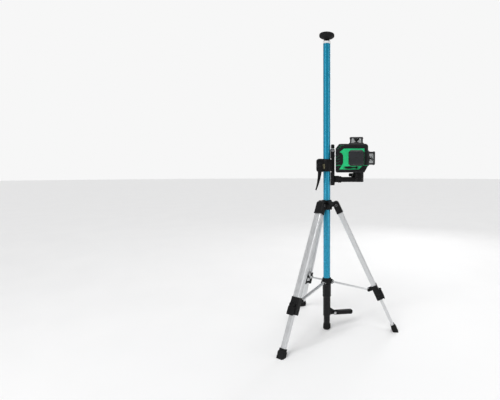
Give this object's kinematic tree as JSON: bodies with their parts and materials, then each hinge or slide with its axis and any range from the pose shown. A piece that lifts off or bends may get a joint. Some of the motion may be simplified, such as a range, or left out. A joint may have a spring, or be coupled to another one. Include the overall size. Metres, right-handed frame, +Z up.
{
  "type": "laser level on tripod",
  "caption": "Cross-line laser level with cone windows on a tilting arm, clamped to a floor-to-ceiling pole that stands in a sliding, folding tripod.",
  "frame": {"origin": "centre of the sole of the pole's foot, on the floor", "axes": "+Z up the pole, +X along the platform arm, the level's front window looks toward -Y, turned 10 degrees toward -X"},
  "size_m": [0.4129, 0.4323, 1],
  "materials": {
    "pole_anodised": "blue anodised tube, satin",
    "white_plastic": "white moulded ring",
    "black_plastic": "fine-textured black moulding",
    "black_sleeve": "black coated tube",
    "black_rubber": "matt black rubber",
    "leg_aluminium": "silver anodised extrusion",
    "steel": "plain steel",
    "chrome_steel": "bright plated screw",
    "level_green": "green moulding, semi-gloss",
    "armour_rubber": "soft-touch black armour",
    "window_black": "glossy black moulding",
    "window_glass": "clear pane",
    "cone_glass": "polished cone",
    "battery_case": "dark battery case",
    "pendulum_alloy": "machined block",
    "module_brass": "turned barrels",
    "key_rubber": "soft key"
  },
  "bodies": {
    "pole": {"pole_tube": "pole_anodised", "pole_ring": "white_plastic", "jack_sleeve": "black_sleeve", "jack_pin": "steel"},
    "pad_stem": {"pad_stem": "black_plastic"},
    "top_pad": {"top_pad": "black_rubber"},
    "plunger": {"jack_plunger": "black_sleeve", "pole_foot": "black_rubber"},
    "jack_lever": {"jack_lever": "black_plastic"},
    "spider": {"spider": "black_plastic", "hinge_pins": "steel"},
    "spider_knob": {"spider_knob": "black_plastic"},
    "brace_hub": {"brace_hub": "black_plastic", "hub_pins": "steel"},
    "clamp_liner": {"clamp_liner": "black_rubber"},
    "clamp": {"clamp_body": "black_plastic", "slide_rail": "black_sleeve"},
    "clamp_lever": {"clamp_lever": "black_plastic"},
    "carriage": {"carriage": "black_plastic"},
    "lead_screw": {"lead_screw": "chrome_steel", "height_knob": "black_plastic"},
    "arm": {"platform_arm": "black_plastic"},
    "pivot_knob": {"pivot_knob": "black_plastic"},
    "level": {"turntable": "black_plastic", "mount_screw": "steel", "level_core": "level_green", "front_armour": "armour_rubber", "rear_armour": "armour_rubber", "window_frames": "window_black", "glass_panes": "window_glass", "cone_prisms": "cone_glass", "battery_pack": "battery_case"},
    "pan_knob": {"pan_knob": "black_plastic"},
    "battery_door": {"battery_door": "armour_rubber"},
    "mode_key": {"mode_key": "key_rubber"},
    "lock_slider": {"lock_slider": "black_plastic"},
    "gimbal_ring": {"gimbal_ring": "pendulum_alloy"},
    "pendulum": {"pendulum": "pendulum_alloy", "laser_modules": "module_brass"},
    "leg_1": {"leg_elbow_1": "black_plastic", "leg_upper_1": "leg_aluminium", "leg_lock_1": "black_plastic"},
    "lower_leg_1": {"leg_lower_1": "leg_aluminium", "leg_foot_1": "black_rubber"},
    "lock_lever_1": {"lock_lever_1": "black_plastic"},
    "strut_1": {"strut_1": "leg_aluminium"},
    "leg_2": {"leg_elbow_2": "black_plastic", "leg_upper_2": "leg_aluminium", "leg_lock_2": "black_plastic"},
    "lower_leg_2": {"leg_lower_2": "leg_aluminium", "leg_foot_2": "black_rubber"},
    "lock_lever_2": {"lock_lever_2": "black_plastic"},
    "strut_2": {"strut_2": "leg_aluminium"},
    "leg_3": {"leg_elbow_3": "black_plastic", "leg_upper_3": "leg_aluminium", "leg_lock_3": "black_plastic"},
    "lower_leg_3": {"leg_lower_3": "leg_aluminium", "leg_foot_3": "black_rubber"},
    "lock_lever_3": {"lock_lever_3": "black_plastic"},
    "strut_3": {"strut_3": "leg_aluminium"}
  },
  "joints": [
    {"name": "tripod_height", "type": "slide", "parent": "pole", "child": "spider", "axis": [0, 0, 1], "range_m": [0, 0.03]},
    {"name": "leg_fold_1", "type": "hinge", "parent": "spider", "child": "leg_1", "pos_m": [-0.02121, -0.02528, 0.436], "axis": [0.766, -0.6428, 0], "range_deg": [0, 20]},
    {"name": "leg_fold_2", "type": "hinge", "parent": "spider", "child": "leg_2", "pos_m": [0.0325, -0.00573, 0.436], "axis": [0.1736, 0.9848, 0], "range_deg": [0, 20]},
    {"name": "leg_fold_3", "type": "hinge", "parent": "spider", "child": "leg_3", "pos_m": [-0.01129, 0.03101, 0.436], "axis": [-0.9397, -0.342, 0], "range_deg": [0, 20]},
    {"name": "hub_rise", "type": "slide", "parent": "spider", "child": "brace_hub", "axis": [0, 0, 1], "range_m": [0, 0.082]},
    {"name": "strut_fold_1", "type": "hinge", "parent": "brace_hub", "child": "strut_1", "pos_m": [-0.01253, -0.01494, 0.1688], "axis": [0.766, -0.6428, 0], "range_deg": [0, 71]},
    {"name": "leg_extend_1", "type": "slide", "parent": "leg_1", "child": "lower_leg_1", "axis": [0.2717, 0.3237, 0.9063], "range_m": [0, 0.08]},
    {"name": "lock_flip_1", "type": "hinge", "parent": "leg_1", "child": "lock_lever_1", "pos_m": [-0.11847, -0.14119, 0.14465], "axis": [-0.766, 0.6428, 0], "range_deg": [0, 110]},
    {"name": "strut_fold_2", "type": "hinge", "parent": "brace_hub", "child": "strut_2", "pos_m": [0.0192, -0.00339, 0.1688], "axis": [0.1736, 0.9848, 0], "range_deg": [0, 71]},
    {"name": "leg_extend_2", "type": "slide", "parent": "leg_2", "child": "lower_leg_2", "axis": [-0.4162, 0.0734, 0.9063], "range_m": [0, 0.08]},
    {"name": "lock_flip_2", "type": "hinge", "parent": "leg_2", "child": "lock_lever_2", "pos_m": [0.18151, -0.032, 0.14465], "axis": [-0.1736, -0.9848, 0], "range_deg": [0, 110]},
    {"name": "strut_fold_3", "type": "hinge", "parent": "brace_hub", "child": "strut_3", "pos_m": [-0.00667, 0.01832, 0.1688], "axis": [-0.9397, -0.342, 0], "range_deg": [0, 71]},
    {"name": "leg_extend_3", "type": "slide", "parent": "leg_3", "child": "lower_leg_3", "axis": [0.1445, -0.3971, 0.9063], "range_m": [0, 0.08]},
    {"name": "lock_flip_3", "type": "hinge", "parent": "leg_3", "child": "lock_lever_3", "pos_m": [-0.06304, 0.17319, 0.14465], "axis": [0.9397, 0.342, 0], "range_deg": [0, 110]},
    {"name": "spider_knob_turn", "type": "hinge", "parent": "spider", "child": "spider_knob", "pos_m": [0.00684, -0.01879, 0.443], "axis": [0.342, -0.9397, 0], "range_deg": [-180, 180]},
    {"name": "pad_turn", "type": "hinge", "parent": "pole", "child": "pad_stem", "pos_m": [0, 0, 0.986], "axis": [0, 0, 1], "continuous": true},
    {"name": "pad_tilt", "type": "hinge", "parent": "pad_stem", "child": "top_pad", "pos_m": [0, 0, 0.986], "axis": [0, 1, 0], "range_deg": [-12, 12]},
    {"name": "jack_travel", "type": "slide", "parent": "pole", "child": "plunger", "axis": [0, 0, 1], "range_m": [0, 0.016]},
    {"name": "jack_lever_swing", "type": "hinge", "parent": "pole", "child": "jack_lever", "pos_m": [0.02678, 0.00819, 0.055], "axis": [0.2924, -0.9563, 0], "range_deg": [0, 70]},
    {"name": "bracket_height", "type": "slide", "parent": "pole", "child": "clamp_liner", "axis": [0, 0, 1], "range_m": [-0.03, 0.33]},
    {"name": "bracket_swing", "type": "hinge", "parent": "clamp_liner", "child": "clamp", "pos_m": [0, 0, 0.57], "axis": [0, 0, 1], "continuous": true},
    {"name": "clamp_lever_swing", "type": "hinge", "parent": "clamp", "child": "clamp_lever", "pos_m": [-0.026, 0, 0.57], "axis": [0, 1, 0], "range_deg": [0, 110]},
    {"name": "fine_height", "type": "slide", "parent": "clamp", "child": "carriage", "axis": [0, 0, 1], "range_m": [-0.01, 0.01]},
    {"name": "lead_screw_turn", "type": "hinge", "parent": "clamp", "child": "lead_screw", "pos_m": [0.02, 0, 0.624], "axis": [0, 0, 1], "range_deg": [-1800, 1800]},
    {"name": "arm_fold", "type": "hinge", "parent": "carriage", "child": "arm", "pos_m": [0.041, 0, 0.523], "axis": [0, 1, 0], "range_deg": [0, 65]},
    {"name": "pivot_knob_turn", "type": "hinge", "parent": "carriage", "child": "pivot_knob", "pos_m": [0.041, 0, 0.523], "axis": [0, -1, 0], "range_deg": [-180, 180]},
    {"name": "pan", "type": "hinge", "parent": "arm", "child": "level", "pos_m": [0.108, 0, 0.546], "axis": [0, 0, 1], "range_deg": [-2, 22]},
    {"name": "pan_knob_turn", "type": "hinge", "parent": "arm", "child": "pan_knob", "pos_m": [0.085, 0, 0.5382], "axis": [1, 0, 0], "range_deg": [-180, 180]},
    {"name": "battery_door_swing", "type": "hinge", "parent": "level", "child": "battery_door", "pos_m": [0.0591, 0.04086, 0.55825], "axis": [-0.9848, 0.1736, 0], "range_deg": [0, 90]},
    {"name": "mode_key_press", "type": "slide", "parent": "level", "child": "mode_key", "axis": [0, 0, -1], "range_m": [0, 0.001], "stiffness_N_per_m": 600},
    {"name": "lock_slide", "type": "slide", "parent": "level", "child": "lock_slider", "axis": [-0.9848, 0.1736, 0], "range_m": [0, 0.004]},
    {"name": "gimbal_roll", "type": "hinge", "parent": "level", "child": "gimbal_ring", "pos_m": [0.10111, 0.00122, 0.619], "axis": [0.9848, -0.1736, 0], "range_deg": [-4, 4]},
    {"name": "gimbal_pitch", "type": "hinge", "parent": "gimbal_ring", "child": "pendulum", "pos_m": [0.10111, 0.00122, 0.619], "axis": [0.1736, 0.9848, 0], "range_deg": [-4, 4]}
  ],
  "couplings": [
    {"joint": "leg_fold_2", "follows": "leg_fold_1", "ratio": 1},
    {"joint": "leg_fold_3", "follows": "leg_fold_1", "ratio": 1},
    {"joint": "hub_rise", "follows": "leg_fold_1", "m_per_rad": 0.23189},
    {"joint": "strut_fold_1", "follows": "leg_fold_1", "ratio": 3.5171},
    {"joint": "strut_fold_2", "follows": "leg_fold_1", "ratio": 3.5171},
    {"joint": "strut_fold_3", "follows": "leg_fold_1", "ratio": 3.5171},
    {"joint": "jack_lever_swing", "follows": "jack_travel", "rad_per_m": 76.249},
    {"joint": "lead_screw_turn", "follows": "fine_height", "rad_per_m": 3141.3}
  ]
}
